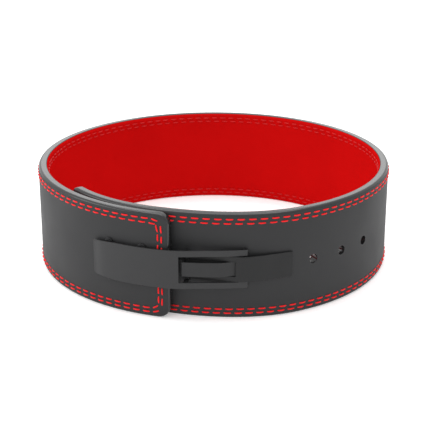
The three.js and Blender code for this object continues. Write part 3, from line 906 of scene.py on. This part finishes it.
# ---------------------------------------------------------------- operators


class BELT_OT_strap(Operator):
    """Makes the leather strap with its rounded edges and punched holes"""

    bl_idname = "belt.strap"
    bl_label = "Strap"

    def execute(self, context):
        sizes = context.scene.belt_sizes
        grid, edge, _ = strap_layer(sizes, 0, sizes.leather)
        shape = grid.reshape(-1, 3), tube_faces(*grid.shape[:2])
        paint = edge_paint(context.scene.belt_colours)
        rim = (edge < sizes.paint) & (grid[..., 2] > BARE_FOOT)
        piece = add_piece("strap", shape, finished_leather(context.scene.belt_colours),
                          "root", ["strap_leather"], coat=(paint, painted(rim)))
        punch(piece, hole_punches(sizes, 0, sizes.leather, sizes.hole_lip), paint)
        return {"FINISHED"}


class BELT_OT_lining(Operator):
    """Makes the suede lining with the same holes"""

    bl_idname = "belt.lining"
    bl_label = "Lining"

    def execute(self, context):
        sizes = context.scene.belt_sizes
        near = sizes.leather + LAYER_GAP
        grid, _, end = strap_layer(sizes, near, near + sizes.lining)
        shape = grid.reshape(-1, 3), tube_faces(*grid.shape[:2])
        paint = bpy.data.materials["rolled_edge_paint"]
        ends = np.broadcast_to(end < 2 * sizes.paint, grid.shape[:2])
        piece = add_piece("lining", shape, suede(context.scene.belt_colours),
                          "root", ["lining_suede"], coat=(paint, painted(ends)))
        punch(piece, hole_punches(sizes, near, near + sizes.lining, LINING_LIP), paint)
        return {"FINISHED"}


class BELT_OT_stitching(Operator):
    """Makes the double rows of stitches on the strap and on the lining"""

    bl_idname = "belt.stitching"
    bl_label = "Stitching"

    def execute(self, context):
        sizes = context.scene.belt_sizes
        colours = context.scene.belt_colours
        along, up, covered = stitch_rows(sizes)
        wall = strap_wall(sizes)
        outside = stitch_skins(sizes, along[~covered], up[~covered], 0.0, 1)
        inside = stitch_skins(sizes, along, up, wall, -1)
        # The stitches on the lining get the darker copy of the thread's colour: painted shade inside
        # the ring.
        for side, shape, shade in (("outside", outside, colours.thread),
                                   ("inside", inside, colours.inner_thread_painted_shade)):
            thread = bonded_thread(f"bonded_polyester_thread_{side}", shade)
            piece = add_piece(f"stitches_{side}", shape, thread, "root", sharp=80)
            thread_map(piece, sizes)
        return {"FINISHED"}


class BELT_OT_base_plate(Operator):
    """Makes the base plate, its screws and the lever's pin"""

    bl_idname = "belt.base_plate"
    bl_label = "Base plate"

    def execute(self, context):
        sizes, buckle = context.scene.belt_sizes, context.scene.buckle_sizes
        colours = context.scene.belt_colours
        coat = powder_coat("powder_coated_steel_plate", colours.plate)
        oxide = black_oxide(colours)
        plate = add_piece("base_plate_bent", base_shape(sizes, buckle), coat, "root",
                          ["base_plate"])
        steel_edges(plate, buckle.bevel * 0.7)
        places = [(angle, way) for angle in SCREW_ANGLES for way in (1, -1)]
        for number, (angle, way) in enumerate(places, 1):
            add_piece(f"button_screw_{number}", screw_shape(sizes, buckle, angle, way), oxide,
                      "root", [f"screw_{number}"], sharp=30)
        middle = sizes.width / 2
        pin = pin_shape(pivot(sizes, LEVER_PIN_ANGLE)[1],
                        middle - buckle.lever, middle + buckle.lever)
        add_piece("lever_pin_turned", pin, oxide, "root", ["lever_pin"])
        return {"FINISHED"}


class BELT_OT_lever(Operator):
    """Makes the lever and the rivets that carry the hook plate"""

    bl_idname = "belt.lever"
    bl_label = "Lever"

    def execute(self, context):
        sizes, buckle = context.scene.belt_sizes, context.scene.buckle_sizes
        colours = context.scene.belt_colours
        lever = add_piece("lever_bent", lever_shape(sizes, buckle),
                          powder_coat("powder_coated_steel_lever", colours.lever), "lever",
                          ["lever_handle"])
        steel_edges(lever, buckle.bevel)
        oxide = bpy.data.materials["turned_steel_black_oxide"]
        middle = sizes.width / 2
        near, far = buckle.tongue + FIT, buckle.window + LUG_HEIGHT
        for number, (low, high) in enumerate(((near, far), (-far, -near)), 1):
            rivet = pin_shape(pivot(sizes, HOOK_PIN_ANGLE)[1], middle + low, middle + high)
            add_piece(f"rivet_turned_{number}", rivet, oxide, "lever",
                      [f"hook_rivet_{number}"])
        return {"FINISHED"}


class BELT_OT_hook(Operator):
    """Makes the hook plate with its prong"""

    bl_idname = "belt.hook"
    bl_label = "Hook plate"

    def execute(self, context):
        sizes, buckle = context.scene.belt_sizes, context.scene.buckle_sizes
        hook = add_piece("hook_plate_bent", hook_shape(sizes, buckle),
                         powder_coat("powder_coated_steel_hook", context.scene.belt_colours.hook),
                         "hook", ["hook_plate"])
        steel_edges(hook, buckle.bevel)
        return {"FINISHED"}


class BELT_OT_stage(Operator):
    """Sets the plain pale floor, the soft studio light and the camera"""

    bl_idname = "belt.stage"
    bl_label = "Stage"

    def execute(self, context):
        scene = context.scene
        scene.view_settings.view_transform = "Standard"
        floor_mesh = bpy.data.meshes.new("floor")
        reach = FLOOR_REACH
        floor_mesh.from_pydata(
            [(-reach, -reach, 0), (reach, -reach, 0), (reach, reach, 0), (-reach, reach, 0)], [],
            [(0, 1, 2, 3)])
        floor = bpy.data.objects.new("floor", floor_mesh)
        floor_mesh.materials.append(new_material(
            "backlit_white_acrylic_floor", linear("f4f4f4"), 0.9,
            Emission_Color=(1, 1, 1, 1), Emission_Strength=0.3)[0])
        scene.collection.objects.link(floor)

        world = bpy.data.worlds.new("studio")
        world.use_nodes = True
        world.node_tree.nodes["Background"].inputs["Color"].default_value = (1, 1, 1, 1)
        world.node_tree.nodes["Background"].inputs["Strength"].default_value = 1.0
        scene.world = world
        for name, place, size, watts in LAMPS:
            lamp = bpy.data.lights.new(name, "AREA")
            lamp.size, lamp.energy = size, watts
            light = bpy.data.objects.new(name, lamp)
            scene.collection.objects.link(light)
            light.location = place
            aim = np.array(LAMP_AIM) - place
            flat = np.hypot(aim[0], aim[1])
            light.rotation_euler = (np.arctan2(flat, -aim[2]), 0, np.arctan2(-aim[0], aim[1]))

        camera = bpy.data.objects.new("camera", bpy.data.cameras.new("camera"))
        camera.data.lens, camera.data.sensor_width = CAMERA_LENS, CAMERA_SENSOR
        camera.data.clip_start, camera.data.clip_end = 0.05, 50
        camera.location = CAMERA_PLACE
        camera.rotation_euler = (np.radians(CAMERA_TILT), 0, 0)
        scene.collection.objects.link(camera)
        scene.camera = camera
        return {"FINISHED"}


STEPS = (
    BELT_OT_stage, BELT_OT_strap, BELT_OT_lining, BELT_OT_stitching, BELT_OT_base_plate,
    BELT_OT_lever, BELT_OT_hook,
)


class BELT_PT_parts(Panel):
    """Lists the belt's sizes, colours and pieces"""

    bl_label = "Lever belt"
    bl_space_type = "VIEW_3D"
    bl_region_type = "UI"
    bl_category = "Belt"

    def draw(self, context):
        for group in (context.scene.belt_sizes, context.scene.buckle_sizes,
                      context.scene.belt_colours):
            column = self.layout.column()
            for key in group.__annotations__:
                column.prop(group, key)
        for step in STEPS:
            self.layout.operator(step.bl_idname)


CLASSES = (BeltSizes, BuckleSizes, BeltColours, *STEPS, BELT_PT_parts)


def register():
    for made in CLASSES:
        bpy.utils.register_class(made)
    bpy.types.Scene.belt_sizes = PointerProperty(type=BeltSizes)
    bpy.types.Scene.buckle_sizes = PointerProperty(type=BuckleSizes)
    bpy.types.Scene.belt_colours = PointerProperty(type=BeltColours)


def unregister():
    del bpy.types.Scene.belt_colours
    del bpy.types.Scene.buckle_sizes
    del bpy.types.Scene.belt_sizes
    for made in reversed(CLASSES):
        bpy.utils.unregister_class(made)


def main():
    """Registers the classes and makes every piece in order."""
    register()
    bpy.ops.belt.stage()
    bpy.ops.belt.strap()
    bpy.ops.belt.lining()
    bpy.ops.belt.stitching()
    bpy.ops.belt.base_plate()
    bpy.ops.belt.lever()
    bpy.ops.belt.hook()


if __name__ == "__main__":
    main()
